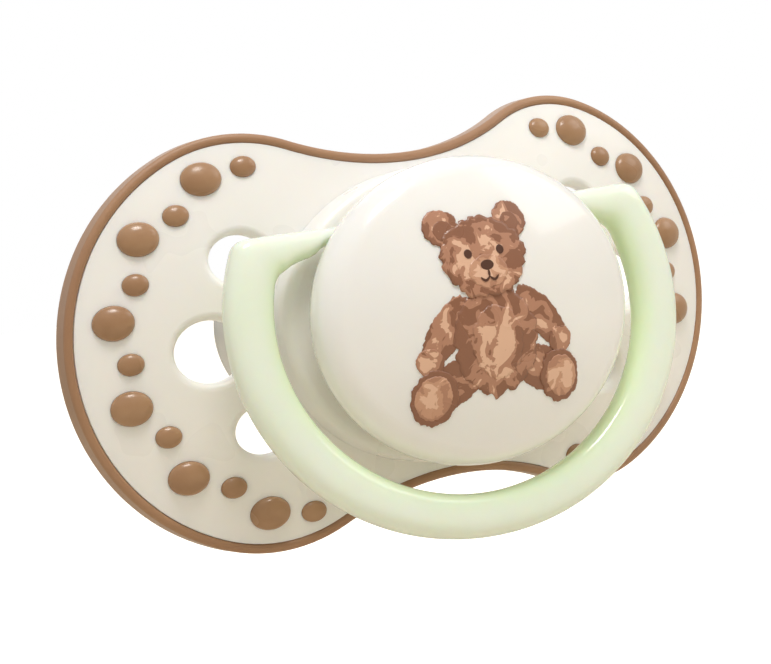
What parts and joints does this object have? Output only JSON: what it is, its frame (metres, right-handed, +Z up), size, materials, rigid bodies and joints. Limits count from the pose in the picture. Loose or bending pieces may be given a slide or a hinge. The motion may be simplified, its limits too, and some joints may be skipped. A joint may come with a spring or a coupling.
{
  "type": "pacifier",
  "caption": "Baby pacifier: butterfly shield with vents, soft rim and dots, silicone teat behind, domed oval cap in front and a swinging ring handle.",
  "frame": {"origin": "middle of the shield's back face, where the teat's neck leaves it", "axes": "+X towards the wearer's left across the wings, +Y back along the teat, +Z up; the cap faces -Y"},
  "size_m": [0.0586, 0.0412, 0.0334],
  "materials": {
    "cream_plastic": "satin",
    "cap_plastic": "gloss",
    "brown_soft": "satin",
    "glow_plastic": "gloss",
    "clear_silicone": "gloss",
    "plug_plastic": "satin"
  },
  "bodies": {
    "soother": {"shield": "cream_plastic", "shield_rim": "brown_soft", "left_large_dots": "brown_soft", "left_small_dots": "brown_soft", "right_large_dots": "brown_soft", "right_small_dots": "brown_soft", "ring_holder": "cream_plastic", "knob_cap": "cap_plastic", "teat": "clear_silicone", "teat_plug": "plug_plastic"},
    "ring": {"ring_handle": "glow_plastic"}
  },
  "joints": [
    {"name": "ring_swing", "type": "hinge", "parent": "soother", "child": "ring", "pos_m": [0, -0.0043, 0.00715], "axis": [-1, 0, 0], "range_deg": [-10, 180]}
  ]
}
